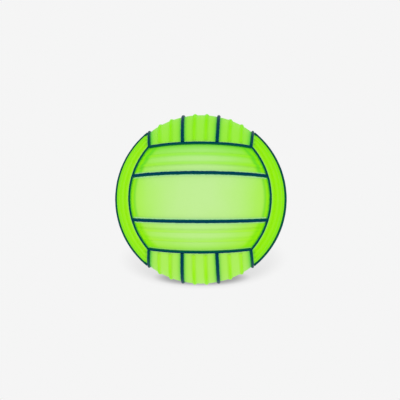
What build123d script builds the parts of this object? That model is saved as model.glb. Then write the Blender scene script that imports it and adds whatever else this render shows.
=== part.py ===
from build123d import *
import math
import os

# An 18 panel water polo ball, in millimetres and degrees.
# The origin is the ball's centre, +Z is up, and -Y is the front, with the smooth print panel.

# Cover, and the layers under it
COVER_RADIUS = 104.5
PANEL_THICKNESS = 1.2
CARCASS_THICKNESS = 0.4
WINDING_THICKNESS = 0.5
BLADDER_THICKNESS = 0.5
CEMENT_GAP = 0.1
PANEL_EDGE_ROUND = 0.4

# Panel layout: the angle from a face's centre to the middle of a seam on that face
FACE_EDGE_ANGLE = 37.45
UPRIGHT_INNER_ANGLE = 12.1
SIDE_INNER_ANGLE = 9.7
PRINT_INNER_ANGLE = 15.55

# Seam strips
SEAM_WIDTH = 3.6
SEAM_HEIGHT = 2.0
SEAM_SHOULDER = 0.4

# Grip ribs: the margin is the angle that a print face's ribs leave free beside its edge seams
RIBS_PER_PANEL = 2
RIBS_PER_SIDE_PANEL = 3
RIB_WIDTH = 5.4
RIB_HEIGHT = 1.6
RIB_END_CLEARANCE = 1.5
RIB_END_SLOPE = 45.0
PRINT_RIB_MARGIN = 2.2

# Valve, in the middle panel of the back face
VALVE_RECESS = 0.4
HOUSING_NECK_RADIUS = 5.6
HOUSING_FLANGE_RADIUS = 14.0
HOUSING_FLANGE_THICKNESS = 1.2
HOUSING_DEPTH = 15.0
HOUSING_FLOOR = 1.5
AIR_HOLE_RADIUS = 1.2
CORE_HEAD_RADIUS = 4.2
CORE_HEAD_THICKNESS = 1.4
CORE_SHANK_RADIUS = 3.0
CORE_LENGTH = 12.5
CORE_TIP_RADIUS = 1.7
CORE_TIP_LENGTH = 3.0
CORE_CLEARANCE = 0.1
NEEDLE_RADIUS = 1.1
NEEDLE_DEPTH = 7.0
NEEDLE_LEAD_IN = 0.7

# Radii of the layers, from the cover inwards
PANEL_INNER = COVER_RADIUS - PANEL_THICKNESS
CARCASS_OUTER = PANEL_INNER - CEMENT_GAP
CARCASS_INNER = CARCASS_OUTER - CARCASS_THICKNESS
WINDING_OUTER = CARCASS_INNER - CEMENT_GAP
WINDING_INNER = WINDING_OUTER - WINDING_THICKNESS
BLADDER_OUTER = WINDING_INNER - CEMENT_GAP
BLADDER_INNER = BLADDER_OUTER - BLADDER_THICKNESS

CENTRE = Vector(0, 0, 0)
CUTTER_REACH = 4 * COVER_RADIUS
OVERRUN = 6.0
HALF_FACE = 45.0
MITRE_TURN = 150.0
HALF_SPACE = Box(CUTTER_REACH, CUTTER_REACH, CUTTER_REACH, align=(Align.CENTER, Align.CENTER, Align.MIN))

# A face's own frame: X runs along its strips, Y across them, and Z out of the ball
ALONG = Vector(1, 0, 0)
ACROSS = Vector(0, 1, 0)
OUT = Vector(0, 0, 1)
FACE_AXIS = Axis(CENTRE, OUT)

# Each face's frame, and the names of its strips in the order that Y meets them
FACES = {
    "front": (Plane(CENTRE, x_dir=(1, 0, 0), z_dir=(0, -1, 0)), ("lower", "middle", "upper")),
    "back": (Plane(CENTRE, x_dir=(-1, 0, 0), z_dir=(0, 1, 0)), ("lower", "middle", "upper")),
    "top": (Plane(CENTRE, x_dir=(0, -1, 0), z_dir=(0, 0, 1)), ("left", "middle", "right")),
    "bottom": (Plane(CENTRE, x_dir=(0, 1, 0), z_dir=(0, 0, -1)), ("left", "middle", "right")),
    "left": (Plane(CENTRE, x_dir=(0, 0, 1), z_dir=(-1, 0, 0)), ("front", "middle", "back")),
    "right": (Plane(CENTRE, x_dir=(0, 0, -1), z_dir=(1, 0, 0)), ("front", "middle", "back")),
}
PRINT_FACES = ("front", "back")
SIDE_FACES = ("left", "right")
VALVE_FACE = "back"


def surface_angle(length):
    """The angle that a length along the cover's surface spans."""
    return math.degrees(length / COVER_RADIUS)


def polar(radius, latitude):
    """A point of a profile plane, given as a distance from the ball's centre and a latitude."""
    turn = math.radians(latitude)
    return (radius * math.cos(turn), radius * math.sin(turn))


def edge_tilt():
    """How far a long edge seam's axis leans, so that its circle passes through the faces' corners."""
    corner = 1 / math.sqrt(3)
    middle = math.radians(FACE_EDGE_ANGLE)
    return math.degrees(math.atan2(math.sin(middle) - corner, math.cos(middle) - corner))


class BallCircle:
    """A circle on the ball that runs along a face's strips, at an angle from the face's centre.

    The profile plane has the circle's axis as its Y, and the latitude is counted from its X.
    """

    def __init__(self, angle, across=ACROSS, out=OUT):
        tilt = edge_tilt() * angle / FACE_EDGE_ANGLE
        lean = math.radians(tilt)
        rise = out * math.cos(lean) + across * math.sin(lean)
        up = across * math.cos(lean) - out * math.sin(lean)
        self.latitude = angle - tilt
        self.plane = Plane(CENTRE, x_dir=rise, z_dir=rise.cross(up))
        self.axis = Axis(CENTRE, up)

    def turned(self, outline, half_turn):
        """The solid that a profile sweeps, by half a turn's angle to each side of the face's middle."""
        profile = (self.plane * make_face(outline)).rotate(self.axis, -half_turn)
        return revolve(profile, self.axis, 2 * half_turn)

    def directions_at(self, turn):
        """Straight out of the ball, and on along the circle, at a turn from the face's middle."""
        spin = math.radians(turn)
        height = math.radians(self.latitude)
        ahead = self.axis.direction.cross(self.plane.x_dir)
        radial = self.plane.x_dir * math.cos(spin) + ahead * math.sin(spin)
        outwards = radial * math.cos(height) + self.axis.direction * math.sin(height)
        return outwards, self.axis.direction.cross(radial)

    def turn_to(self, other, latitude):
        """The turn from the face's middle at which this circle meets a latitude of an end circle."""
        height = math.radians(self.latitude)
        ahead = self.axis.direction.cross(self.plane.x_dir)
        pole = other.axis.direction
        side = math.cos(height) * self.plane.x_dir.dot(pole)
        front = math.cos(height) * ahead.dot(pole)
        level = math.sin(math.radians(latitude)) - math.sin(height) * self.axis.direction.dot(pole)
        return math.degrees(math.atan2(front, side) + math.acos(level / math.hypot(side, front)))

    def side_of(self, latitude, sign):
        """All the space above the plane of a latitude, or below it where the sign is negative."""
        up = self.axis.direction
        level = COVER_RADIUS * math.sin(math.radians(latitude))
        return Plane(up * level, x_dir=self.plane.x_dir, z_dir=up * sign) * HALF_SPACE


def sunk(radius, latitude):
    """The point of a profile plane at a radius, straight under a latitude of the cover's surface."""
    level = COVER_RADIUS * math.sin(math.radians(latitude))
    return (math.sqrt(radius**2 - level**2), level)


EDGE = BallCircle(FACE_EDGE_ANGLE)
END_CIRCLES = [BallCircle(FACE_EDGE_ANGLE, OUT, ALONG * end) for end in (1, -1)]
HALF_SEAM = surface_angle(SEAM_WIDTH / 2)
HALF_JOINT = surface_angle(SEAM_WIDTH / 2 + CEMENT_GAP)
END_TRIMS = [circle.side_of(circle.latitude + HALF_JOINT, -1) for circle in END_CIRCLES]


def cover_patch():
    """A piece of the cover's wall, larger than one face all round."""
    reach = 90 - FACE_EDGE_ANGLE + OVERRUN
    outline = [
        ThreePointArc(polar(COVER_RADIUS, -reach), polar(COVER_RADIUS, 0), polar(COVER_RADIUS, reach)),
        Line(polar(COVER_RADIUS, reach), polar(PANEL_INNER, reach)),
        ThreePointArc(polar(PANEL_INNER, reach), polar(PANEL_INNER, 0), polar(PANEL_INNER, -reach)),
        Line(polar(PANEL_INNER, -reach), polar(COVER_RADIUS, -reach)),
    ]
    axis = Axis(CENTRE, ALONG)
    half_turn = HALF_FACE + OVERRUN
    profile = Plane(CENTRE, x_dir=OUT, z_dir=OUT.cross(ALONG)) * make_face(outline)
    return revolve(profile.rotate(axis, -half_turn), axis, 2 * half_turn)


def rib(angle):
    """One half-round grip rib with sloping ends, and its foot sunk into the panel's wall."""
    circle = BallCircle(angle)
    half_width = surface_angle(RIB_WIDTH / 2)
    low = circle.latitude - half_width
    high = circle.latitude + half_width
    foot = COVER_RADIUS - PANEL_THICKNESS / 2
    crest = polar(COVER_RADIUS + RIB_HEIGHT, circle.latitude)
    outline = [
        Line(sunk(foot, low), polar(COVER_RADIUS, low)),
        ThreePointArc(polar(COVER_RADIUS, low), crest, polar(COVER_RADIUS, high)),
        Line(polar(COVER_RADIUS, high), sunk(foot, high)),
        Line(sunk(foot, high), sunk(foot, low)),
    ]
    end_circle = END_CIRCLES[0]
    end_latitude = end_circle.latitude + HALF_SEAM + surface_angle(RIB_END_CLEARANCE)
    half_turn = circle.turn_to(end_circle, end_latitude)
    bead = circle.turned(outline, half_turn)
    slope = math.radians(RIB_END_SLOPE)
    for end in (1, -1):
        outwards, onwards = circle.directions_at(end * half_turn)
        normal = outwards * math.cos(slope) + onwards * (end * math.sin(slope))
        ramp = Plane(outwards * COVER_RADIUS, x_dir=circle.axis.direction, z_dir=normal)
        bead -= ramp * HALF_SPACE
    return bead


def panel(low_angle, high_angle, rib_count, margin=0.0):
    """One cover panel, between the seams at two angles on its face, with its outer edges rounded.

    The ribs are evenly spaced, up to a margin short of the high side.
    """
    low = BallCircle(low_angle)
    high = BallCircle(high_angle)
    body = cover_patch()
    for trim in END_TRIMS:
        body -= trim
    body -= low.side_of(low.latitude + HALF_JOINT, -1)
    body -= high.side_of(high.latitude - HALF_JOINT, 1)
    rims = [edge for edge in body.edges() if abs((edge @ 0.5).length - COVER_RADIUS) < CEMENT_GAP]
    body = fillet(rims, PANEL_EDGE_ROUND)
    step = (high_angle - margin - low_angle) / (rib_count + 1)
    for number in range(rib_count):
        body += rib(low_angle + step * (number + 1))
    return body


def seam_strip(circle, half_turn):
    """A seam strip before its ends are cut: flat sides up from the carcass, and a domed top."""
    low = circle.latitude - HALF_SEAM
    middle = circle.latitude
    high = circle.latitude + HALF_SEAM
    shoulder = COVER_RADIUS + SEAM_SHOULDER
    crest = polar(COVER_RADIUS + SEAM_HEIGHT, middle)
    outline = [
        Line(sunk(PANEL_INNER, low), polar(COVER_RADIUS, low)),
        Line(polar(COVER_RADIUS, low), polar(shoulder, low)),
        ThreePointArc(polar(shoulder, low), crest, polar(shoulder, high)),
        Line(polar(shoulder, high), polar(COVER_RADIUS, high)),
        Line(polar(COVER_RADIUS, high), sunk(PANEL_INNER, high)),
        ThreePointArc(sunk(PANEL_INNER, high), polar(PANEL_INNER, middle), sunk(PANEL_INNER, low)),
    ]
    return circle.turned(outline, half_turn)


def inner_seam(angle):
    """A seam strip between two panels of one face.

    Each end follows the end seam's side: square to its axis up to the cover, and straight out above.
    """
    circle = BallCircle(angle)
    strip = seam_strip(circle, 90 - FACE_EDGE_ANGLE + OVERRUN)
    for end, end_circle, trim in zip((1, -1), END_CIRCLES, END_TRIMS):
        strip -= trim
        turn = circle.turn_to(END_CIRCLES[0], end_circle.latitude + HALF_JOINT)
        outwards, _ = circle.directions_at(end * turn)
        pole = end_circle.axis.direction
        away = outwards * pole.dot(outwards) - pole
        strip -= Plane(CENTRE, x_dir=outwards, z_dir=away) * HALF_SPACE
    return strip


def edge_seam():
    """A seam strip along a face's long edge, mitred at both ends, where three such strips meet."""
    strip = seam_strip(EDGE, HALF_FACE + OVERRUN)
    for end in (1, -1):
        corner = (ALONG * end + ACROSS + OUT).normalized()
        into_strip = EDGE.axis.direction.cross(corner).normalized() * -end
        for turn in (MITRE_TURN, -MITRE_TURN):
            away = into_strip.rotate(Axis(CENTRE, corner), turn)
            mitre = Plane(away * (-CEMENT_GAP / 2), x_dir=corner, z_dir=away)
            strip -= mitre * HALF_SPACE
    return strip


def valve_profile_plane():
    """The plane of the valve's profiles: X is the distance from its axis, and Y points out of the ball."""
    return Plane(CENTRE, x_dir=ALONG, z_dir=ALONG.cross(OUT))


def height_on(radius, offset):
    """How far out a sphere about the ball's centre lies, at an offset from the valve's axis."""
    return math.sqrt(radius**2 - offset**2)


def turned_on_valve_axis(outline):
    """The solid that a profile sweeps about the valve's axis."""
    return revolve(valve_profile_plane() * make_face(outline), FACE_AXIS, 360)


def layer(outer, inner):
    """A closed inner layer of the ball, with a round hole for the valve housing's neck."""
    hole = HOUSING_NECK_RADIUS + CEMENT_GAP
    outer_rim = (hole, height_on(outer, hole))
    inner_rim = (hole, height_on(inner, hole))
    outline = [
        ThreePointArc(outer_rim, (outer, 0), (0, -outer)),
        Line((0, -outer), (0, -inner)),
        ThreePointArc((0, -inner), (inner, 0), inner_rim),
        Line(inner_rim, outer_rim),
    ]
    return turned_on_valve_axis(outline)


VALVE_TOP = COVER_RADIUS - VALVE_RECESS


def valve_housing():
    """The rubber boot: a neck through the layers, a flange inside the bladder, and a stepped bore."""
    flange_outer = BLADDER_INNER - CEMENT_GAP
    flange_inner = flange_outer - HOUSING_FLANGE_THICKNESS
    neck = HOUSING_NECK_RADIUS
    rim = HOUSING_FLANGE_RADIUS
    middle = (neck + rim) / 2
    bottom = VALVE_TOP - HOUSING_DEPTH
    bore = CORE_SHANK_RADIUS + CORE_CLEARANCE
    seat = CORE_HEAD_RADIUS + CORE_CLEARANCE
    seat_floor = VALVE_TOP - CORE_HEAD_THICKNESS
    bore_floor = bottom + HOUSING_FLOOR
    neck_foot = (neck, height_on(flange_outer, neck))
    outer_rim = (rim, height_on(flange_outer, rim))
    inner_rim = (rim, height_on(flange_inner, rim))
    stem_top = (neck, height_on(flange_inner, neck))
    outline = [
        Line((seat, VALVE_TOP), (neck, VALVE_TOP)),
        Line((neck, VALVE_TOP), neck_foot),
        ThreePointArc(neck_foot, (middle, height_on(flange_outer, middle)), outer_rim),
        Line(outer_rim, inner_rim),
        ThreePointArc(inner_rim, (middle, height_on(flange_inner, middle)), stem_top),
        Polyline(
            stem_top,
            (neck, bottom),
            (AIR_HOLE_RADIUS, bottom),
            (AIR_HOLE_RADIUS, bore_floor),
            (bore, bore_floor),
            (bore, seat_floor),
            (seat, seat_floor),
            (seat, VALVE_TOP),
        ),
    ]
    return turned_on_valve_axis(outline)


def valve_core():
    """The needle valve: a head, a shank with a tapered tip, and a blind guide hole with a lead-in."""
    tip = VALVE_TOP - CORE_LENGTH
    hole_floor = VALVE_TOP - NEEDLE_DEPTH
    outline = Polyline(
        (0, hole_floor),
        (NEEDLE_RADIUS, hole_floor),
        (NEEDLE_RADIUS, VALVE_TOP - NEEDLE_LEAD_IN),
        (NEEDLE_RADIUS + NEEDLE_LEAD_IN, VALVE_TOP),
        (CORE_HEAD_RADIUS, VALVE_TOP),
        (CORE_HEAD_RADIUS, VALVE_TOP - CORE_HEAD_THICKNESS),
        (CORE_SHANK_RADIUS, VALVE_TOP - CORE_HEAD_THICKNESS),
        (CORE_SHANK_RADIUS, tip + CORE_TIP_LENGTH),
        (CORE_TIP_RADIUS, tip),
        (0, tip),
        close=True,
    )
    return turned_on_valve_axis(outline)


def face_pieces(inner_angle, middle_ribs, outer_ribs, margin=0.0):
    """The three panels and four seam strips of a face, each as a pair of low and high sides."""
    outer = panel(inner_angle, FACE_EDGE_ANGLE, outer_ribs, margin)
    middle = panel(-inner_angle, inner_angle, middle_ribs)
    inner = inner_seam(inner_angle)
    edge = edge_seam()
    return {
        "middle": middle,
        "outer": (outer.rotate(FACE_AXIS, 180), outer),
        "inner": (inner.rotate(FACE_AXIS, 180), inner),
        "edge": (edge.rotate(FACE_AXIS, 180), edge),
    }


def build_nodes():
    """Every piece of the ball, by name, in its place."""
    upright = face_pieces(UPRIGHT_INNER_ANGLE, RIBS_PER_PANEL, RIBS_PER_PANEL)
    sideways = face_pieces(SIDE_INNER_ANGLE, RIBS_PER_PANEL, RIBS_PER_SIDE_PANEL)
    printed = face_pieces(PRINT_INNER_ANGLE, 0, RIBS_PER_PANEL, PRINT_RIB_MARGIN)
    valve_plane = FACES[VALVE_FACE][0]
    hole_radius = HOUSING_NECK_RADIUS + CEMENT_GAP
    neck_hole = Cylinder(hole_radius, CUTTER_REACH, align=(Align.CENTER, Align.CENTER, Align.MIN))
    nodes = {}
    for face, (plane, strips) in FACES.items():
        pieces = printed if face in PRINT_FACES else sideways if face in SIDE_FACES else upright
        middle = pieces["middle"]
        if face == VALVE_FACE:
            middle = middle - neck_hole
        nodes[f"{face}_{strips[1]}_panel"] = plane * middle
        for number, strip in enumerate((strips[0], strips[2])):
            nodes[f"{face}_{strip}_panel"] = plane * pieces["outer"][number]
            nodes[f"{face}_{strip}_inner_seam"] = plane * pieces["inner"][number]
            nodes[f"{face}_{strip}_edge_seam"] = plane * pieces["edge"][number]
    nodes["carcass"] = valve_plane * layer(CARCASS_OUTER, CARCASS_INNER)
    nodes["winding"] = valve_plane * layer(WINDING_OUTER, WINDING_INNER)
    nodes["bladder"] = valve_plane * layer(BLADDER_OUTER, BLADDER_INNER)
    nodes["valve_housing"] = valve_plane * valve_housing()
    nodes["valve_core"] = valve_plane * valve_core()
    return nodes


os.makedirs("parts", exist_ok=True)
for name, solid in build_nodes().items():
    export_step(solid, f"parts/{name}.step")
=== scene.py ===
import math

import bpy
import numpy as np
from mathutils import Matrix, Vector


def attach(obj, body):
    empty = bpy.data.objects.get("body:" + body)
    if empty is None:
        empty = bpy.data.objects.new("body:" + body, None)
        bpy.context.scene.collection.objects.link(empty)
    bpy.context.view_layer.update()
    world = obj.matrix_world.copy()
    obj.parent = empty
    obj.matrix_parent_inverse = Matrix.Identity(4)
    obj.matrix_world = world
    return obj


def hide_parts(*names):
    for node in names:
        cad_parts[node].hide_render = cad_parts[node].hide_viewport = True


# The visual pieces of the water polo ball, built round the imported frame

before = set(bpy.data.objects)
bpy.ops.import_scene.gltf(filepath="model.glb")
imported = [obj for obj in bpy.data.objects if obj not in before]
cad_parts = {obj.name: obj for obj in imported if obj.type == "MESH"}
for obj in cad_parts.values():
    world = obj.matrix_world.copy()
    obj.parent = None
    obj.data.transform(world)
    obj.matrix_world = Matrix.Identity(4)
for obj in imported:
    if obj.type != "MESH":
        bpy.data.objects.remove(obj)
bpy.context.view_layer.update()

# Sizes are in millimetres and degrees, in the frame's axes: +Z is up and -Y is the front
MM = 0.001
ON_AXIS = 1e-6
SHARP_ANGLE = 48.0

# The ball's faces: the directions along and across their strips and outwards, and the strips' names
FACES = {
    "front": ((1, 0, 0), (0, 0, 1), (0, -1, 0), ("lower", "middle", "upper")),
    "back": ((-1, 0, 0), (0, 0, 1), (0, 1, 0), ("lower", "middle", "upper")),
    "top": ((0, -1, 0), (1, 0, 0), (0, 0, 1), ("left", "middle", "right")),
    "bottom": ((0, 1, 0), (1, 0, 0), (0, 0, -1), ("left", "middle", "right")),
    "left": ((0, 0, 1), (0, 1, 0), (-1, 0, 0), ("front", "middle", "back")),
    "right": ((0, 0, -1), (0, 1, 0), (1, 0, 0), ("front", "middle", "back")),
}
VALVE_FACE = "back"

# Faces that are built alike: the middle strip of a plain one has no ribs
FACE_GROUPS = {
    "front": "plain",
    "back": "plain",
    "top": "upright",
    "bottom": "upright",
    "left": "side",
    "right": "side",
}

# The ball's layout: angles are from the middle of a face
COVER_RADIUS = 104.5
PANEL_INNER = 103.3
FACE_EDGE_ANGLE = 37.45
INNER_ANGLES = {"plain": 15.55, "upright": 12.1, "side": 9.7}
CEMENT_GAP = 0.1

# Seam strips: the width is that of the joint, and the width of each kind of strip is a share of it
SEAM_WIDTH = 3.6
STRIP_SHARES = {"edge": 0.86, "inner": 1.12}
SEAM_HEIGHT = 2.4
SEAM_SHOULDER = 0.3

# A strip's end: the turn of the planes that point it, and the widest turn and halvings of the search for it
MITRE_TURN = 150.0
WIDEST_TURN = 62.0
TURN_HALVINGS = 40

# How far a strip's colour turns from blue, 0, to green, 1: at the sides of its dome, and at its foot
STRIP_PAINT = {"edge": (0.95, 1.0), "inner": (0.95, 0.95), "side_edge": (1.0, 1.0)}

# A strip is uneven in half width, place and height: by how much, and how fast it changes along the strip
UNEVEN_WIDTH = (0.18, 9)
UNEVEN_PLACE = (0.18, 7)
UNEVEN_HEIGHT = (0.12, 11)
WOBBLE_WAVES = (3, 7, 13, 23)
WOBBLE_STRENGTHS = (0.5, 1.0)
FIRST_SEED = 11
SEED_STEP = 7

# Grip ribs: how many on a middle and on an outer strip, and the angle left free beside an edge seam
RIB_COUNTS = {"plain": (0, 2), "upright": (2, 2), "side": (2, 3)}
RIB_MARGINS = {"plain": 2.2, "upright": 0.0, "side": 0.0}

# A rib's bump, whose half width is that of the whole, and its fade before an end seam
RIB_HEIGHT = 1.7
RIB_HALF_WIDTH = 2.9
RIB_PROFILE_POWER = 1.0
RIB_END_CLEARANCE = 0.8
RIB_END_FADE = 3.0

# Painted shade on a rib: its half widths below and above its middle, and how far that lies off the crest
RIB_SHADE_WIDTHS = {"plain": (2.4, 6.0), "side": (4.0, 4.0), "upright": (3.8, 3.8)}
RIB_SHADE_SHIFTS = {"plain": 0.7, "side": 0.0, "upright": 0.0}
RIB_SHADE_POWER = 2
LOW_RIB_SHARE = 0.75

# Ribs of the top and bottom faces have a share of their painted shade near an end, and all of it further in
UPRIGHT_RIB_START = 0.52
UPRIGHT_RIB_REACH = (10.0, 50.0)

# A panel's surface dips towards the seams around it
EDGE_DIP = 0.2
EDGE_DIP_WIDTH = 4.0

# Grid of a panel, which is closer towards its rim, and of a seam strip
PANEL_STEPS_ALONG = 100
PANEL_STEPS_ACROSS = 90
PANEL_PULL_ALONG = 0.6
PANEL_PULL_ACROSS = 0.35
SEAM_STEPS = 150
SEAM_DOME_STEPS = 12

# Valve, in the middle panel of the back face
VALVE_TOP = 104.1
NECK_RADIUS = 5.6
FLANGE_RADIUS = 14.0
FLANGE_OUTER = 101.5
FLANGE_INNER = 100.3
FLANGE_STEPS = 8
HOUSING_BOTTOM = 89.1
HOUSING_FLOOR = 90.6
AIR_HOLE_RADIUS = 1.2
BORE_RADIUS = 3.1
SEAT_RADIUS = 4.3
SEAT_FLOOR = 102.7
CORE_HEAD_RADIUS = 4.2
CORE_SHANK_RADIUS = 3.0
CORE_TIP = 91.6
CORE_TIP_RADIUS = 1.7
CORE_TIP_LENGTH = 3.0
NEEDLE_RADIUS = 1.1
NEEDLE_FLOOR = 97.1
NEEDLE_LEAD_IN = 0.7
VALVE_ROUND = 0.25
ROUND_LIMIT = 0.45
ROUND_STEPS = 4
LATHE_STEPS = 72

# The valve's hole in its panel: rings of vertices lie at shares of the way from the grid to the hole
NECK_HOLE = 5.7
HOLE_LIP = 0.5
LIP_ROUNDNESS = 0.98
HOLE_CLEARANCE = 3.0
HOLE_RINGS = (0.3, 0.55, 0.75, 0.88, 0.94, 0.97, 0.99, 1.0)
HOLE_INNER_RINGS = (0.5, 1.0)

# Painted light on a face's flats, from 0, the deepest painted shade, to 1, the palest painted light, and
# the painted shade that it drops by on the ribs
FACE_PAINTED_LIGHT = {
    "front": (1.0, 0.28),
    "back": (1.0, 0.28),
    "top": (0.42, 0.62),
    "bottom": (0.6, 0.62),
    "left": (0.2, 0.17),
    "right": (0.1, 0.09),
}

# Painted light on a plain face is palest in its middle, with painted shade deeper beside its edge and end
# seams
PLAIN_FALL_ALONG = 0.9
PLAIN_FALL_ACROSS = 0.4
PLAIN_EDGE_DROP = 0.38
PLAIN_EDGE_FADE = 8.0

# Its middle strip's painted light spreads more widely higher up, and its outer strips' painted shade grows
# to the right
PLAIN_PALE_HEIGHT = 0.5
PLAIN_PALE_REACH = 0.75
PLAIN_FALL_RIGHT = 0.35

# The painted shade beside its end seams: how much, up to which distance it is whole, and where it ends
PLAIN_END_DROPS = {"lower": (0.5, 5.0, 17.0), "middle": (0.38, 4.0, 11.0), "upper": (0.5, 5.0, 17.0)}

# Painted shade, in a deep green, lies on the cover beside the seams: how strongly and how far beside inner,
# edge and end seams
PAINTED_SHADE_COLOUR = (44, 205, 54)
SEAM_PAINTED_SHADE = {
    "plain": ((0.35, 1.2), (0.55, 5.5), (0.25, 2.0)),
    "plain_low": ((0.35, 1.2), (0.28, 4.5), (0.25, 2.0)),
    "side": ((0.7, 10.0), (0.6, 1.8), (0.8, 1.8)),
    "upright": ((0.9, 1.8), (1.0, 3.0), (0.2, 1.2)),
}

# A soft painted shadow line in the same colour lies in from a plain face's end seams: how strong, how far
# in and how wide
END_SHADOW_LINES = {"lower": (0.15, 9.5, 3.6), "middle": (0.4, 7.5, 2.6), "upper": (0.5, 9.5, 3.6)}

# A painted highlight, a pale line, lies at the very edge of the cover: how strongly and how far beside
# inner, edge and end seams
PAINTED_HIGHLIGHT_COLOUR = (198, 255, 196)
EDGE_PAINTED_HIGHLIGHT = {
    "plain": ((1.0, 1.2), (0.0, 1.0), (0.0, 1.0)),
    "plain_low": ((1.0, 1.2), (0.4, 1.0), (0.0, 1.0)),
    "side": ((0.15, 1.0), (0.8, 2.4), (0.15, 1.0)),
    "upright": ((0.15, 1.0), (0.15, 1.0), (0.8, 1.2)),
}

# Painted light from below turns the cover's colours warmer from one height to another, as a share of the
# radius
WARM_LIGHT_FROM = 0.6
WARM_LIGHT_TO = 0.0

# Camera: the photograph's viewpoint and long lens, and how many pixels off the middle the ball lies
CAMERA_DISTANCE = 12.6 * COVER_RADIUS
CAMERA_YAW = -1.25
CAMERA_PITCH = -1.55
CAMERA_ROLL = 0.12
CAMERA_LENS = 95.2
SENSOR_WIDTH = 36.0
PHOTO_WIDTH = 400
CENTRE_RIGHT = 1.1
CENTRE_UP = 0.6
CLIP_START = 0.05
CLIP_END = 20.0

# Floor: a clear sheet, which the camera looks a little down on, that only keeps the ball's shade
FLOOR_TILT = 18.0
FLOOR_SIZE = 4.4 * COVER_RADIUS
FLOOR_OVERLAP = 0.1
FLOOR_DROP = COVER_RADIUS + RIB_HEIGHT - FLOOR_OVERLAP
SHADE_SAMPLES = 32

# A shade's half width, half depth and how far its middle lies behind the point that the ball touches
WIDE_SHADE = (1.14 * COVER_RADIUS, 1.26 * COVER_RADIUS, 0.88 * COVER_RADIUS)
WIDE_SOLID = 0.74
WIDE_DEPTH = 0.3
CONTACT_SHADE = (0.63 * COVER_RADIUS, 0.32 * COVER_RADIUS, 0.07 * COVER_RADIUS)
CONTACT_SOLID = 0.6
CONTACT_DEPTH = 0.45

# What the camera and reflections see round the ball
BACKDROP_COLOUR = (245, 245, 245)

# Colours are screen values, which a curve with a straight toe turns into light for the shaders
SCREEN_WHITE = 255
CURVE_TOE = 0.04045
CURVE_TOE_SLOPE = 12.92
CURVE_OFFSET = 0.055
CURVE_POWER = 2.4

# How far the valve's roughness strays, and how much finer a layer's bumps are than its clouds
VALVE_ROUGHNESS_SPREAD = 0.1
LAYER_BUMP_FINENESS = 6

# Where a Mix node for colours keeps its share, its two colours and its result
MIX_SHARE = 0
MIX_FIRST = 6
MIX_SECOND = 7
MIX_RESULT = 2

# The axes of a face's own frame
ALONG = np.array((1.0, 0.0, 0.0))
ACROSS = np.array((0.0, 1.0, 0.0))
OUT = np.array((0.0, 0.0, 1.0))


def surface_angle(length):
    """The angle, in radians, that a length along the cover spans."""
    return length / COVER_RADIUS


def smooth_step(low, high, value):
    """0 below low, 1 above high, and a smooth rise between them."""
    share = np.clip((value - low) / (high - low), 0, 1)
    return share * share * (3 - 2 * share)


def bunched(count, pull):
    """Numbers from 0 to 1 that lie closer together towards both ends."""
    even = np.linspace(0, 1, count + 1)
    return even * (1 - pull) + smooth_step(0, 1, even) * pull


def edge_tilt():
    """The tilt of the circle through an edge's middle and the corners where three faces meet."""
    corner = 1 / math.sqrt(3)
    middle = math.radians(FACE_EDGE_ANGLE)
    return math.atan2(math.sin(middle) - corner, math.cos(middle) - corner)


class BallCircle:
    """A circle on the ball along a face's strips, at an angle from the face's centre."""

    def __init__(self, angle, across=ACROSS, out=OUT):
        self.tilt = edge_tilt() * angle / FACE_EDGE_ANGLE
        self.latitude = math.radians(angle) - self.tilt
        self.axis = across * math.cos(self.tilt) - out * math.sin(self.tilt)

    def distance(self, directions):
        """How far directions lie above the circle, in millimetres along the cover."""
        height = np.clip(directions @ self.axis, -1, 1)
        return (np.arcsin(height) - self.latitude) * COVER_RADIUS


EDGE = BallCircle(FACE_EDGE_ANGLE)
END_CIRCLES = [BallCircle(FACE_EDGE_ANGLE, OUT, ALONG * end) for end in (1, -1)]
HALF_JOINT = surface_angle(SEAM_WIDTH / 2 + CEMENT_GAP)


def on_circle(tilt, latitude, turn):
    """Directions on the circle of a tilt and latitude, at a turn from the face's middle."""
    shape = np.broadcast_shapes(np.shape(tilt), np.shape(latitude), np.shape(turn))
    tilt = np.broadcast_to(tilt, shape)[..., None]
    latitude = np.broadcast_to(latitude, shape)[..., None]
    turn = np.broadcast_to(turn, shape)[..., None]
    axis = ACROSS * np.cos(tilt) - OUT * np.sin(tilt)
    rise = OUT * np.cos(tilt) + ACROSS * np.sin(tilt)
    level = rise * np.cos(turn) + ALONG * np.sin(turn)
    return level * np.cos(latitude) + axis * np.sin(latitude)


def turn_to_end(tilt, latitude, end_latitude):
    """The turn at which such a circle meets a latitude of the end seam."""
    pole = END_CIRCLES[0].axis
    side = np.cos(latitude) * (np.cos(tilt) * pole[2] + np.sin(tilt) * pole[1])
    front = np.cos(latitude) * pole[0]
    up = np.cos(tilt) * pole[1] - np.sin(tilt) * pole[2]
    level = math.sin(end_latitude) - np.sin(latitude) * up
    return np.arctan2(front, side) + np.arccos(level / np.hypot(side, front))


def to_ball(face, points):
    """Points of a face's own frame, in the ball's frame."""
    along, across, out = (np.array(axis, float) for axis in FACES[face][:3])
    return points[:, :1] * along + points[:, 1:2] * across + points[:, 2:3] * out


def add_mesh(name, points, faces, body, node):
    """A smooth shaded mesh piece in the frame, which stands for a CAD node."""
    mesh = bpy.data.meshes.new(name)
    mesh.from_pydata((points * MM).tolist(), [], faces)
    mesh.validate()
    mesh.shade_smooth()
    mesh.set_sharp_from_angle(angle=math.radians(SHARP_ANGLE))
    piece = bpy.data.objects.new(name, mesh)
    bpy.context.scene.collection.objects.link(piece)
    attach(piece, body)
    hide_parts(node)
    return piece


def set_attribute(piece, name, values):
    """A number for each vertex of a piece, which its material reads."""
    layer = piece.data.attributes.new(name, "FLOAT", "POINT")
    layer.data.foreach_set("value", np.asarray(values, np.float32))


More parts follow.
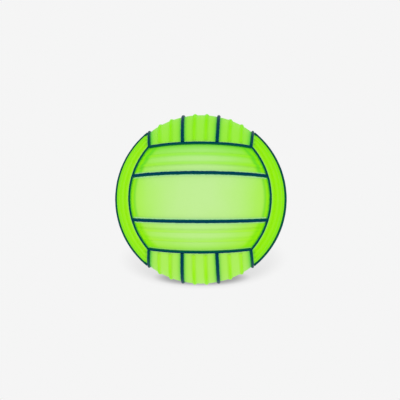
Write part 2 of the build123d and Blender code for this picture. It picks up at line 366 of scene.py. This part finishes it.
def wobble(turns, seed):
    """A smooth uneven line between about -1 and 1, the same on every run."""
    draw = np.random.default_rng(seed)
    weakest, strongest = WOBBLE_STRENGTHS
    total = np.zeros_like(turns)
    for wave in WOBBLE_WAVES:
        total += np.sin(turns * wave + draw.uniform(0, 2 * math.pi)) * draw.uniform(weakest, strongest)
    return total / ((weakest + strongest) / 2 * len(WOBBLE_WAVES))


def grid_faces(rows, columns, flipped=False):
    """The quads of a grid of vertices, by row and column."""
    faces = []
    for row in range(rows - 1):
        for column in range(columns - 1):
            corner = row * columns + column
            quad = (corner, corner + 1, corner + columns + 1, corner + columns)
            faces.append(quad[::-1] if flipped else quad)
    return faces


class PanelShape:
    """The surface of one cover panel between two seams of its face."""

    def __init__(self, low_angle, high_angle, rib_count, margin):
        self.low = BallCircle(low_angle)
        self.high = BallCircle(high_angle)
        self.low_kind = "edge" if low_angle == -FACE_EDGE_ANGLE else "inner"
        self.high_kind = "edge" if high_angle == FACE_EDGE_ANGLE else "inner"
        first = low_angle + (margin if self.low_kind == "edge" else 0)
        last = high_angle - (margin if self.high_kind == "edge" else 0)
        step = (last - first) / (rib_count + 1)
        self.ribs = [BallCircle(first + step * (number + 1)) for number in range(rib_count)]

    def directions(self):
        """The directions of the panel's grid, row by row."""
        share = bunched(PANEL_STEPS_ACROSS, PANEL_PULL_ACROSS)[:, None]
        tilt = self.low.tilt + (self.high.tilt - self.low.tilt) * share
        start = self.low.latitude + HALF_JOINT
        latitude = start + (self.high.latitude - HALF_JOINT - start) * share
        reach = turn_to_end(tilt, latitude, END_CIRCLES[0].latitude + HALF_JOINT)
        turn = reach * (2 * bunched(PANEL_STEPS_ALONG, PANEL_PULL_ALONG)[None, :] - 1)
        return on_circle(tilt, latitude, turn).reshape(-1, 3)

    def seam_distances(self, directions):
        """How far directions lie from the inner, edge and end seams around the panel."""
        sides = {kind: [np.full(len(directions), COVER_RADIUS)] for kind in ("inner", "edge")}
        sides[self.low_kind].append(self.low.distance(directions))
        sides[self.high_kind].append(-self.high.distance(directions))
        ends = [circle.distance(directions) for circle in END_CIRCLES]
        nearest = [np.min(found, axis=0) for found in (sides["inner"], sides["edge"], ends)]
        return [np.clip(distance - SEAM_WIDTH / 2, 0, None) for distance in nearest]

    def rib_share(self, directions, widths, power, shift=0.0):
        """1 on a rib's crest, 0 clear of the ribs: the half widths are those below and above the crest."""
        below, above = widths
        share = np.zeros(len(directions))
        for rib in self.ribs:
            offset = rib.distance(directions) + shift
            ratio = np.abs(offset) / np.where(offset > 0, above, below)
            share += np.cos(np.clip(ratio, 0, 1) * math.pi / 2) ** power
        ends = self.seam_distances(directions)[2]
        return share * smooth_step(RIB_END_CLEARANCE, RIB_END_CLEARANCE + RIB_END_FADE, ends)

    def radius(self, directions):
        """The cover's radius, with its ribs and the dip beside its seams."""
        edge = np.min(self.seam_distances(directions), axis=0)
        dip = EDGE_DIP * (1 - smooth_step(0, EDGE_DIP_WIDTH, edge))
        share = self.rib_share(directions, (RIB_HALF_WIDTH, RIB_HALF_WIDTH), RIB_PROFILE_POWER)
        return COVER_RADIUS + RIB_HEIGHT * share - dip


def closed_shell(shape):
    """The vertices and faces of a panel: outer skin, inner skin and the walls between."""
    rows = PANEL_STEPS_ACROSS + 1
    columns = PANEL_STEPS_ALONG + 1
    directions = shape.directions()
    outer = directions * shape.radius(directions)[:, None]
    inner = directions * PANEL_INNER
    count = len(directions)
    faces = grid_faces(rows, columns)
    faces += [tuple(count + corner for corner in quad) for quad in grid_faces(rows, columns, True)]
    rim = list(range(columns))
    rim += [row * columns + columns - 1 for row in range(1, rows)]
    rim += [(rows - 1) * columns + column for column in range(columns - 2, -1, -1)]
    rim += [row * columns for row in range(rows - 2, 0, -1)]
    for first, second in zip(rim, rim[1:] + rim[:1]):
        faces.append((first, count + first, count + second, second))
    return np.vstack((outer, inner)), faces, directions


def grid_window(flat):
    """The block of grid vertices that the valve's hole takes the place of, and the loop round it."""
    rows, columns, _ = flat.shape
    clear = NECK_HOLE + HOLE_CLEARANCE
    middle_row = rows // 2
    middle_column = columns // 2
    tall = int(np.searchsorted(flat[middle_row:, middle_column, 1], clear))
    wide = int(np.searchsorted(flat[middle_row, middle_column:, 0], clear))
    row_low, row_high = middle_row - tall, middle_row + tall
    column_low, column_high = middle_column - wide, middle_column + wide
    loop = [row_low * columns + column for column in range(column_low, column_high)]
    loop += [row * columns + column_high for row in range(row_low, row_high)]
    loop += [row_high * columns + column for column in range(column_high, column_low, -1)]
    loop += [row * columns + column_low for row in range(row_high, row_low, -1)]
    block = {
        row * columns + column
        for row in range(row_low, row_high + 1)
        for column in range(column_low, column_high + 1)
    }
    return block, loop


def cut_round_hole(points, faces, directions):
    """Opens a round hole with a soft lip at the middle of a panel, for the valve."""
    count = len(directions)
    flat = directions[:, :2] * COVER_RADIUS
    block, loop = grid_window(flat.reshape(PANEL_STEPS_ACROSS + 1, PANEL_STEPS_ALONG + 1, 2))
    block |= {count + corner for corner in block}
    kept = [face for face in faces if not set(face) <= block]
    border = flat[loop]
    spin = np.arctan2(border[:, 1], border[:, 0])
    circle = NECK_HOLE * np.stack((np.cos(spin), np.sin(spin)), 1)
    points = [points]
    total = 2 * count

    def towards_hole(share):
        return border * (1 - share) + circle * share

    def ring(offsets, radius, drop):
        nonlocal total
        out = np.sqrt(radius**2 - (offsets**2).sum(1)) - drop
        points.append(np.column_stack((offsets, out)))
        indices = list(range(total, total + len(loop)))
        total += len(loop)
        return indices

    def bridge(first, second):
        for number in range(len(first)):
            after = (number + 1) % len(first)
            kept.append((first[number], first[after], second[after], second[number]))

    top = loop
    for share in HOLE_RINGS:
        offsets = towards_hole(share)
        gap = np.hypot(*offsets.T) - NECK_HOLE
        inside = np.clip(1 - gap / HOLE_LIP, 0, 1)
        drop = HOLE_LIP * (1 - np.sqrt(1 - inside**2 * LIP_ROUNDNESS))
        below = ring(offsets, COVER_RADIUS, drop)
        bridge(top, below)
        top = below
    bottom = [count + corner for corner in loop]
    for share in HOLE_INNER_RINGS:
        above = ring(towards_hole(share), PANEL_INNER, 0)
        bridge(above, bottom)
        bottom = above
    bridge(top, bottom)
    return drop_loose(np.vstack(points), kept)


def drop_loose(points, faces):
    """The mesh without the vertices that no face uses."""
    used = sorted({corner for face in faces for corner in face})
    place = {corner: number for number, corner in enumerate(used)}
    return points[used], [tuple(place[corner] for corner in face) for face in faces]


def plain_fall(strip, shape, directions):
    """How far the painted light of a plain face falls below its palest."""
    _, edge, end = shape.seam_distances(directions)
    along = directions[:, 0] ** 2
    fall = PLAIN_FALL_ALONG * along
    if strip == "middle":
        pale = smooth_step(0, PLAIN_PALE_HEIGHT, directions[:, 1])
        fall *= 1 - pale * (1 - along / PLAIN_PALE_REACH**2)
    else:
        fall += PLAIN_FALL_RIGHT * np.clip(directions[:, 0], 0, None) ** 2
    fall += PLAIN_FALL_ACROSS * directions[:, 1] ** 2
    fall += PLAIN_EDGE_DROP * np.exp(-edge / PLAIN_EDGE_FADE)
    drop, near, far = PLAIN_END_DROPS[strip]
    return fall + drop * (1 - smooth_step(near, far, end))


def panel_painted_light(face, strip, shape, directions):
    """How much painted light the cover has at each vertex: 0 is the deepest painted shade and 1 the palest
    painted light.
    """
    painted_light, rib_drop = FACE_PAINTED_LIGHT[face]
    group = FACE_GROUPS[face]
    if group == "plain":
        painted_light = painted_light - plain_fall(strip, shape, directions)
    # Painted shade on the ribs: weaker on a lower strip, and near the ends of the top and bottom faces
    if strip == "lower":
        rib_drop *= LOW_RIB_SHARE
    if group == "upright":
        grown = smooth_step(*UPRIGHT_RIB_REACH, shape.seam_distances(directions)[2])
        rib_drop *= UPRIGHT_RIB_START + (1 - UPRIGHT_RIB_START) * grown
    ribs = shape.rib_share(directions, RIB_SHADE_WIDTHS[group], RIB_SHADE_POWER, RIB_SHADE_SHIFTS[group])
    return np.clip(painted_light - rib_drop * ribs, 0, 1)


def paint_panel(piece, face, strip, shape, local, points):
    """Gives a panel's vertices the numbers for painted light, shade and highlight that the cover's material
    turns into colour.
    """
    directions = local / np.linalg.norm(local, axis=1, keepdims=True)
    group = FACE_GROUPS[face]
    seams = "plain_low" if group == "plain" and strip == "lower" else group
    distances = shape.seam_distances(directions)
    # Painted shade beside the inner, edge and end seams
    painted_shades = [
        strength * np.exp(-distance / reach)
        for distance, (strength, reach) in zip(distances, SEAM_PAINTED_SHADE[seams])
    ]
    # A soft painted shadow line in from a plain face's end seams
    if group == "plain":
        strength, inwards, width = END_SHADOW_LINES[strip]
        painted_shades.append(strength * np.exp(-(((distances[2] - inwards) / width) ** 2)))
    # Painted highlight: a pale line at the very edge beside the seams
    painted_highlights = [
        strength * np.exp(-((distance / reach) ** 2))
        for distance, (strength, reach) in zip(distances, EDGE_PAINTED_HIGHLIGHT[seams])
    ]
    # Painted light from below: warmer colours lower on the ball, and on the side faces all over
    warm_light = 1 - smooth_step(WARM_LIGHT_TO, WARM_LIGHT_FROM, points[:, 2] / COVER_RADIUS)
    # Painted light and shade of the cover
    set_attribute(piece, "painted_light", panel_painted_light(face, strip, shape, directions))
    set_attribute(piece, "painted_shade", np.max(painted_shades, axis=0))
    set_attribute(piece, "painted_highlight", np.max(painted_highlights, axis=0))
    set_attribute(piece, "warm_light", np.ones(len(points)) if group == "side" else warm_light)


def build_panel(face, strip, low_angle, high_angle):
    """One cover panel between two angles of its face, with its ribs and any valve hole."""
    node = f"{face}_{strip}_panel"
    group = FACE_GROUPS[face]
    middle_ribs, outer_ribs = RIB_COUNTS[group]
    rib_count = middle_ribs if strip == "middle" else outer_ribs
    shape = PanelShape(low_angle, high_angle, rib_count, RIB_MARGINS[group])
    local, faces, directions = closed_shell(shape)
    if face == VALVE_FACE and strip == "middle":
        local, faces = cut_round_hole(local, faces, directions)
    points = to_ball(face, local)
    piece = add_mesh(f"{node}_cover", points, faces, "ball", node)
    paint_panel(piece, face, strip, shape, local, points)
    return piece


def seam_lines(kind, seed):
    """The half width, place and height of a strip at even turns along it, with an uneven finish."""
    turns = np.linspace(-1, 1, SEAM_STEPS + 1)
    wider, aside, higher = (
        amount * wobble(turns * pace, seed + number)
        for number, (amount, pace) in enumerate((UNEVEN_WIDTH, UNEVEN_PLACE, UNEVEN_HEIGHT))
    )
    return turns, SEAM_WIDTH * STRIP_SHARES[kind] / 2 + wider, aside, SEAM_HEIGHT + higher


def last_turn(circle, offset, radius, limits):
    """The turn at which a line of a strip reaches the planes that cut the strip's end."""
    low = np.zeros(np.shape(offset))
    high = np.full(np.shape(offset), math.radians(WIDEST_TURN))
    for _ in range(TURN_HALVINGS):
        middle = (low + high) / 2
        points = on_circle(circle.tilt, circle.latitude + surface_angle(offset), middle)
        points = points * np.asarray(radius)[..., None]
        past = np.zeros(np.shape(offset), bool)
        for normal, level in limits:
            past |= points @ normal > level
        high = np.where(past, middle, high)
        low = np.where(past, low, middle)
    return low


def turned(vector, axis, angle):
    """A vector turned about an axis, by an angle in degrees."""
    return np.array(Matrix.Rotation(math.radians(angle), 3, Vector(axis)) @ Vector(vector))


def mitre_limits():
    """The two planes that point an edge strip's end, where three strips meet."""
    corner = (ALONG + ACROSS + OUT) / math.sqrt(3)
    into = -np.cross(EDGE.axis, corner)
    normals = [turned(into, corner, turn) / np.linalg.norm(into) for turn in (MITRE_TURN, -MITRE_TURN)]
    return [(normal, -CEMENT_GAP / 2) for normal in normals]


def butt_limits():
    """The plane that ends an inner strip against the end seam."""
    end = END_CIRCLES[0]
    return [(-end.axis, -COVER_RADIUS * math.sin(end.latitude + HALF_JOINT))]


def strip_faces(ring):
    """The quads between the rings of vertices along a strip, and the caps at its ends."""
    faces = []
    for step in range(SEAM_STEPS):
        first = step * ring
        for number in range(ring):
            after = (number + 1) % ring
            faces.append((first + number, first + after, first + ring + after, first + ring + number))
    faces.append(tuple(range(ring - 1, -1, -1)))
    faces.append(tuple(SEAM_STEPS * ring + number for number in range(ring)))
    return faces


def build_seam(face, strip, kind, angle, seed):
    """One seam strip: flat sides on the carcass, and a domed, slightly uneven top."""
    node = f"{face}_{strip}_{kind}_seam"
    circle = BallCircle(abs(angle))
    limits = mitre_limits() if kind == "edge" else butt_limits()
    turns, half, sway, height = seam_lines(kind, seed)
    dome = np.sin(np.linspace(-math.pi / 2, math.pi / 2, SEAM_DOME_STEPS + 1))
    base_offsets = dome * SEAM_WIDTH / 2
    reach = last_turn(circle, base_offsets, np.full(len(dome), COVER_RADIUS), limits)
    on_side_edge = kind == "edge" and FACE_GROUPS[face] == "side"
    dome_paint, foot_paint = STRIP_PAINT["side_edge" if on_side_edge else kind]
    columns = []
    across = []
    for number, share in enumerate(dome):
        offset = share * half + sway
        rise = SEAM_SHOULDER + (height - SEAM_SHOULDER) * np.sqrt(1 - share**2)
        columns.append((reach[number] * turns, offset, COVER_RADIUS + rise))
        across.append(dome_paint * abs(share))
    for share, end in ((1, reach[-1]), (-1, reach[0])):
        offset = np.full(len(turns), share * SEAM_WIDTH / 2)
        columns.append((end * turns, offset, np.full(len(turns), PANEL_INNER)))
        across.append(foot_paint)
    lines = []
    for turn, offset, radius in columns:
        line = on_circle(circle.tilt, circle.latitude + surface_angle(offset), turn)
        lines.append(line * radius[:, None])
    points = np.stack(lines, 1).reshape(-1, 3)
    if angle < 0:
        points = points * np.array((-1.0, -1.0, 1.0))
    faces = strip_faces(len(columns))
    piece = add_mesh(f"{node}_strip", to_ball(face, points), faces, "ball", node)
    set_attribute(piece, "across", np.tile(across, len(turns)))
    return piece


def rounded(profile, radius):
    """A profile whose corners are rounded, where the sides are long enough."""
    smooth = []
    count = len(profile)
    for number in range(count):
        before = np.array(profile[number - 1], float)
        here = np.array(profile[number], float)
        after = np.array(profile[(number + 1) % count], float)
        if here[0] < ON_AXIS:
            smooth.append(tuple(here))
            continue
        back = before - here
        ahead = after - here
        cut = min(radius, ROUND_LIMIT * np.linalg.norm(back), ROUND_LIMIT * np.linalg.norm(ahead))
        start = here + back / np.linalg.norm(back) * cut
        end = here + ahead / np.linalg.norm(ahead) * cut
        for share in np.linspace(0, 1, ROUND_STEPS + 1):
            point = start * (1 - share) ** 2 + 2 * here * share * (1 - share) + end * share**2
            smooth.append(tuple(point))
    return smooth


def lathe(name, profile, body, node):
    """A piece turned about the valve's axis from points at (offset, height), some of them on the axis."""
    spin = np.linspace(0, 2 * math.pi, LATHE_STEPS, endpoint=False)
    rings = []
    points = []
    for offset, out in profile:
        width = 1 if offset < ON_AXIS else LATHE_STEPS
        rings.append([len(points) + step % width for step in range(LATHE_STEPS)])
        points += [(offset * math.cos(turn), offset * math.sin(turn), out) for turn in spin[:width]]
    faces = []
    for ring, following in zip(rings, rings[1:] + rings[:1]):
        for step in range(LATHE_STEPS):
            after = (step + 1) % LATHE_STEPS
            corners = (ring[step], ring[after], following[after], following[step])
            face = tuple(dict.fromkeys(corners))
            if len(face) > 2:
                faces.append(face)
    return add_mesh(name, to_ball(VALVE_FACE, np.array(points)), faces, body, node)


def valve_housing():
    """The rubber boot: a neck, a flange that follows the bladder, and a stepped bore."""
    offsets = np.linspace(NECK_RADIUS, FLANGE_RADIUS, FLANGE_STEPS)
    outer = [(offset, math.sqrt(FLANGE_OUTER**2 - offset**2)) for offset in offsets]
    inner = [(offset, math.sqrt(FLANGE_INNER**2 - offset**2)) for offset in offsets[::-1]]
    profile = [(SEAT_RADIUS, VALVE_TOP), (NECK_RADIUS, VALVE_TOP), *outer, *inner]
    profile += [
        (NECK_RADIUS, HOUSING_BOTTOM),
        (AIR_HOLE_RADIUS, HOUSING_BOTTOM),
        (AIR_HOLE_RADIUS, HOUSING_FLOOR),
        (BORE_RADIUS, HOUSING_FLOOR),
        (BORE_RADIUS, SEAT_FLOOR),
        (SEAT_RADIUS, SEAT_FLOOR),
    ]
    return lathe("valve_housing_boot", rounded(profile, VALVE_ROUND), "ball", "valve_housing")


def valve_core():
    """The needle valve: a head, a shank with a tapered tip, and a blind needle hole."""
    profile = [
        (0.0, NEEDLE_FLOOR),
        (NEEDLE_RADIUS, NEEDLE_FLOOR),
        (NEEDLE_RADIUS, VALVE_TOP - NEEDLE_LEAD_IN),
        (NEEDLE_RADIUS + NEEDLE_LEAD_IN, VALVE_TOP),
        (CORE_HEAD_RADIUS, VALVE_TOP),
        (CORE_HEAD_RADIUS, SEAT_FLOOR),
        (CORE_SHANK_RADIUS, SEAT_FLOOR),
        (CORE_SHANK_RADIUS, CORE_TIP + CORE_TIP_LENGTH),
        (CORE_TIP_RADIUS, CORE_TIP),
        (0.0, CORE_TIP),
    ]
    return lathe("valve_core_plug", rounded(profile, VALVE_ROUND), "valve_core", "valve_core")


def linear(red, green, blue):
    """A colour given as 0 to 255 screen values, for a shader socket."""
    values = []
    for value in (red, green, blue):
        share = value / SCREEN_WHITE
        curved = ((share + CURVE_OFFSET) / (1 + CURVE_OFFSET)) ** CURVE_POWER
        values.append(share / CURVE_TOE_SLOPE if share <= CURVE_TOE else curved)
    return (*values, 1.0)


class Material:
    """A procedural material with a Principled surface."""

    def __init__(self, name, roughness, specular):
        self.material = bpy.data.materials.new(name)
        self.material.use_nodes = True
        self.tree = self.material.node_tree
        self.surface = self.tree.nodes["Principled BSDF"]
        self.surface.inputs["Roughness"].default_value = roughness
        self.surface.inputs["Specular IOR Level"].default_value = specular

    def node(self, kind, **inputs):
        """A new node, with the values of its sockets by name."""
        made = self.tree.nodes.new(kind)
        for name, value in inputs.items():
            made.inputs[name.replace("_", " ")].default_value = value
        return made

    def link(self, source, target):
        self.tree.links.new(source, target)

    def place(self):
        return self.node("ShaderNodeTexCoord").outputs["Object"]

    def attribute(self, name):
        made = self.node("ShaderNodeAttribute")
        made.attribute_name = name
        return made.outputs["Fac"]

    def noise(self, scale, detail):
        made = self.node("ShaderNodeTexNoise", Scale=scale, Detail=detail)
        self.link(self.place(), made.inputs["Vector"])
        return made.outputs["Fac"]

    def ramp(self, source, stops):
        """The colours of stops, each a position and a colour, by a 0 to 1 value."""
        made = self.node("ShaderNodeValToRGB")
        elements = made.color_ramp.elements
        while len(elements) < len(stops):
            elements.new(0.5)
        for element, (position, colour) in zip(elements, stops):
            element.position = position
            element.color = colour
        self.link(source, made.inputs["Fac"])
        return made.outputs["Color"]

    def spread(self, source, low, high):
        """A 0 to 1 value brought into another range."""
        made = self.node("ShaderNodeMapRange", To_Min=low, To_Max=high)
        self.link(source, made.inputs["Value"])
        return made.outputs["Result"]

    def sum(self, first, second):
        """Two values added, and kept between 0 and 1."""
        made = self.node("ShaderNodeMath")
        made.operation = "ADD"
        made.use_clamp = True
        self.link(first, made.inputs[0])
        self.link(second, made.inputs[1])
        return made.outputs["Value"]

    def mix(self, first, second, share):
        """Two colours mixed by a 0 to 1 value: the second is a socket or a colour."""
        made = self.node("ShaderNodeMix")
        made.data_type = "RGBA"
        self.link(share, made.inputs[MIX_SHARE])
        self.link(first, made.inputs[MIX_FIRST])
        if isinstance(second, tuple):
            made.inputs[MIX_SECOND].default_value = second
        else:
            self.link(second, made.inputs[MIX_SECOND])
        return made.outputs[MIX_RESULT]

    def tint(self, colour, factor):
        """A colour multiplied by a grey value."""
        made = self.node("ShaderNodeVectorMath")
        made.operation = "SCALE"
        self.link(colour, made.inputs[0])
        self.link(factor, made.inputs["Scale"])
        return made.outputs["Vector"]

    def colour(self, source):
        self.link(source, self.surface.inputs["Base Color"])

    def rough(self, source):
        self.link(source, self.surface.inputs["Roughness"])

    def bump(self, height, strength, distance_mm):
        made = self.node("ShaderNodeBump", Strength=strength, Distance=distance_mm * MM)
        self.link(height, made.inputs["Height"])
        self.link(made.outputs["Normal"], self.surface.inputs["Normal"])

    def on(self, piece):
        """Makes this the only material of a piece."""
        piece.data.materials.clear()
        piece.data.materials.append(self.material)


def cover_material():
    """Satin rubber, whose colour follows the painted light and shade, the painted shade beside seams, the
    painted highlight and the warmer painted light from below at its vertices.
    """
    made = Material("cover_rubber", roughness=0.4, specular=0.012)
    mottle = made.spread(made.noise(scale=38.0, detail=4.0), low=-0.05, high=0.05)
    painted_light = made.sum(made.attribute("painted_light"), mottle)
    # Colours from the deepest painted shade, at 0, to the palest painted light, at 1
    cool = (
        (0.0, linear(141, 239, 1)),
        (0.37, linear(154, 239, 56)),
        (0.64, linear(165, 238, 97)),
        (1.0, linear(191, 238, 150)),
    )
    # Colours under the warmer painted light from below
    warm_light = (
        (0.0, linear(149, 240, 3)),
        (0.22, linear(161, 242, 35)),
        (0.47, linear(171, 240, 71)),
        (0.64, linear(175, 240, 96)),
        (1.0, linear(195, 239, 150)),
    )
    colour = made.mix(made.ramp(painted_light, cool), made.ramp(painted_light, warm_light), made.attribute("warm_light"))
    # Painted shade beside the seams
    colour = made.mix(colour, linear(*PAINTED_SHADE_COLOUR), made.attribute("painted_shade"))
    # Painted highlight beside the seams
    colour = made.mix(colour, linear(*PAINTED_HIGHLIGHT_COLOUR), made.attribute("painted_highlight"))
    speckle = made.spread(made.noise(scale=900.0, detail=2.0), low=0.975, high=1.025)
    made.colour(made.tint(colour, speckle))
    made.rough(made.spread(made.noise(scale=120.0, detail=3.0), low=0.34, high=0.46))
    made.bump(made.noise(scale=1900.0, detail=2.0), strength=0.25, distance_mm=0.06)
    return made


def seam_material():
    """Dark rubber, blue in the middle of a strip and greener towards its sides."""
    made = Material("seam_rubber", roughness=0.3, specular=0.006)
    stops = (
        (0.0, linear(0, 58, 86)),
        (0.55, linear(1, 66, 82)),
        (0.85, linear(6, 88, 74)),
        (0.965, linear(16, 112, 70)),
        (1.0, linear(112, 226, 50)),
    )
    uneven = made.spread(made.noise(scale=260.0, detail=3.0), low=-0.03, high=0.03)
    made.colour(made.ramp(made.sum(made.attribute("across"), uneven), stops))
    made.rough(made.spread(made.noise(scale=300.0, detail=3.0), low=0.22, high=0.38))
    made.bump(made.noise(scale=420.0, detail=3.0), strength=0.35, distance_mm=0.2)
    return made


def valve_material(name, dark, light, roughness):
    """Moulded rubber with a fine grain."""
    made = Material(name, roughness, specular=0.35)
    made.colour(made.ramp(made.noise(scale=700.0, detail=4.0), ((0.3, dark), (0.75, light))))
    low = roughness - VALVE_ROUGHNESS_SPREAD
    high = roughness + VALVE_ROUGHNESS_SPREAD
    made.rough(made.spread(made.noise(scale=500.0, detail=3.0), low, high))
    made.bump(made.noise(scale=2600.0, detail=2.0), strength=0.2, distance_mm=0.05)
    return made


def layer_material(name, dark, light, roughness, scale):
    """Cloudy rubber of an inner layer."""
    made = Material(name, roughness, specular=0.3)
    made.colour(made.ramp(made.noise(scale, detail=4.0), ((0.3, dark), (0.7, light))))
    made.bump(made.noise(scale * LAYER_BUMP_FINENESS, detail=3.0), strength=0.3, distance_mm=0.1)
    return made


def winding_material():
    """Crossing turns of nylon thread."""
    made = Material("nylon_winding", roughness=0.55, specular=0.4)
    waves = []
    for direction in ("X", "Y", "DIAGONAL"):
        wave = made.node("ShaderNodeTexWave", Scale=420.0, Distortion=1.5, Detail=2.0)
        wave.bands_direction = direction
        made.link(made.place(), wave.inputs["Vector"])
        waves.append(wave.outputs["Fac"])
    threads = made.sum(made.spread(waves[0], low=0.0, high=0.5), made.spread(waves[1], low=0.0, high=0.3))
    threads = made.sum(threads, made.spread(waves[2], low=0.0, high=0.2))
    made.colour(made.ramp(threads, ((0.1, linear(170, 170, 160)), (0.8, linear(240, 240, 234)))))
    made.bump(threads, strength=0.6, distance_mm=0.2)
    return made


def build_cover():
    """All the panels and seam strips, face by face."""
    cover = cover_material()
    seam = seam_material()
    seed = FIRST_SEED
    for face, (_, _, _, strips) in FACES.items():
        inner = INNER_ANGLES[FACE_GROUPS[face]]
        limits = (-FACE_EDGE_ANGLE, -inner, inner, FACE_EDGE_ANGLE)
        for strip, low_angle, high_angle in zip(strips, limits, limits[1:]):
            cover.on(build_panel(face, strip, low_angle, high_angle))
        for strip, side in ((strips[0], -1), (strips[2], 1)):
            for kind, angle in (("edge", FACE_EDGE_ANGLE), ("inner", inner)):
                seed += SEED_STEP
                seam.on(build_seam(face, strip, kind, side * angle, seed))


def finish_inside():
    """The materials of the inner layers, which keep their CAD shape, and the two pieces of the valve."""
    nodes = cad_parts
    carcass = layer_material(
        "carcass_rubber", linear(196, 188, 160), linear(222, 214, 188), roughness=0.7, scale=60.0
    )
    carcass.on(nodes["carcass"])
    bladder = layer_material(
        "bladder_rubber", linear(26, 26, 28), linear(46, 46, 48), roughness=0.45, scale=80.0
    )
    bladder.on(nodes["bladder"])
    winding_material().on(nodes["winding"])
    housing = valve_material("valve_rubber", linear(22, 24, 26), linear(44, 46, 48), roughness=0.5)
    housing.on(valve_housing())
    core = valve_material("core_rubber", linear(34, 36, 38), linear(62, 64, 66), roughness=0.42)
    core.on(valve_core())


def build_camera():
    """The photograph's view of the ball."""
    to_camera = (
        Matrix.Rotation(math.radians(CAMERA_ROLL), 3, "Y")
        @ Matrix.Rotation(math.radians(CAMERA_PITCH), 3, "X")
        @ Matrix.Rotation(math.radians(CAMERA_YAW), 3, "Z")
    )
    right, ahead, up = (Vector(to_camera[row]) for row in range(3))
    pixel = SENSOR_WIDTH / PHOTO_WIDTH / CAMERA_LENS
    aim = ahead - right * (CENTRE_RIGHT * pixel) - up * (CENTRE_UP * pixel)
    aim.normalize()
    right = aim.cross(up).normalized()
    up = right.cross(aim)
    data = bpy.data.cameras.new("camera")
    data.lens = CAMERA_LENS
    data.sensor_width = SENSOR_WIDTH
    data.clip_start = CLIP_START
    data.clip_end = CLIP_END
    camera = bpy.data.objects.new("camera", data)
    turn = Matrix((right, up, -aim)).transposed().to_4x4()
    camera.matrix_world = Matrix.Translation(ahead * (-CAMERA_DISTANCE * MM)) @ turn
    bpy.context.scene.collection.objects.link(camera)
    bpy.context.scene.camera = camera


def over_oval(tree, place, spread, solid, middle, rim):
    """A value that holds in the middle of a shade's oval and eases to another one at the oval's rim."""
    half_width, half_depth, back = spread
    oval = tree.nodes.new("ShaderNodeMapping")
    oval.inputs["Scale"].default_value = (1 / (half_width * MM), 1 / (half_depth * MM), 1)
    oval.inputs["Location"].default_value = (0, -back / half_depth, 0)
    tree.links.new(place, oval.inputs["Vector"])
    reach = tree.nodes.new("ShaderNodeVectorMath")
    reach.operation = "LENGTH"
    tree.links.new(oval.outputs["Vector"], reach.inputs[0])
    made = tree.nodes.new("ShaderNodeMapRange")
    made.interpolation_type = "SMOOTHSTEP"
    tree.links.new(reach.outputs["Value"], made.inputs["Value"])
    for name, value in (("From Min", solid), ("To Min", middle), ("To Max", rim)):
        made.inputs[name].default_value = value
    return made.outputs["Result"]


def floor_material():
    """A clear sheet, darkened by how much of the light the ball keeps off it, and where they touch."""
    sheet = bpy.data.materials.new("floor_sheet")
    sheet.use_nodes = True
    tree = sheet.node_tree
    tree.nodes.remove(tree.nodes["Principled BSDF"])
    place = tree.nodes.new("ShaderNodeTexCoord").outputs["Object"]
    light = tree.nodes.new("ShaderNodeAmbientOcclusion")
    light.samples = SHADE_SAMPLES
    shade = tree.nodes.new("ShaderNodeMix")
    shade.inputs["A"].default_value = 1.0
    wide = over_oval(tree, place, WIDE_SHADE, WIDE_SOLID, WIDE_DEPTH, 0.0)
    tree.links.new(wide, shade.inputs["Factor"])
    tree.links.new(light.outputs["AO"], shade.inputs["B"])
    contact = over_oval(tree, place, CONTACT_SHADE, CONTACT_SOLID, 1 - CONTACT_DEPTH, 1.0)
    darkened = tree.nodes.new("ShaderNodeMath")
    darkened.operation = "MULTIPLY"
    tree.links.new(shade.outputs["Result"], darkened.inputs[0])
    tree.links.new(contact, darkened.inputs[1])
    clear = tree.nodes.new("ShaderNodeBsdfTransparent")
    tree.links.new(darkened.outputs["Value"], clear.inputs["Color"])
    tree.links.new(clear.outputs["BSDF"], tree.nodes["Material Output"].inputs["Surface"])
    return sheet


def build_floor():
    """The floor under the ball, which leans towards the camera."""
    lean = math.radians(FLOOR_TILT)
    normal = Vector((0, -math.sin(lean), math.cos(lean)))
    bpy.ops.mesh.primitive_plane_add(size=FLOOR_SIZE * MM, location=normal * (-FLOOR_DROP * MM))
    floor = bpy.context.object
    floor.name = "floor"
    floor.rotation_euler = (lean, 0, 0)
    floor.data.materials.append(floor_material())


def build_studio():
    """An even white light all round, which the camera and reflections see as the pale backdrop."""
    world = bpy.data.worlds.new("studio")
    bpy.context.scene.world = world
    world.use_nodes = True
    tree = world.node_tree
    even = tree.nodes["Background"]
    even.inputs["Color"].default_value = (1, 1, 1, 1)
    even.inputs["Strength"].default_value = 1.0
    seen = tree.nodes.new("ShaderNodeBackground")
    seen.inputs["Color"].default_value = linear(*BACKDROP_COLOUR)
    path = tree.nodes.new("ShaderNodeLightPath")
    seen_by = path.outputs["Is Camera Ray"]
    for ray in ("Is Glossy Ray", "Is Transmission Ray"):
        either = tree.nodes.new("ShaderNodeMath")
        either.operation = "ADD"
        either.use_clamp = True
        tree.links.new(seen_by, either.inputs[0])
        tree.links.new(path.outputs[ray], either.inputs[1])
        seen_by = either.outputs["Value"]
    choice = tree.nodes.new("ShaderNodeMixShader")
    tree.links.new(seen_by, choice.inputs["Fac"])
    tree.links.new(even.outputs["Background"], choice.inputs[1])
    tree.links.new(seen.outputs["Background"], choice.inputs[2])
    tree.links.new(choice.outputs["Shader"], tree.nodes["World Output"].inputs["Surface"])


build_cover()
finish_inside()
build_camera()
build_floor()
build_studio()
bpy.context.scene.view_settings.view_transform = "Standard"
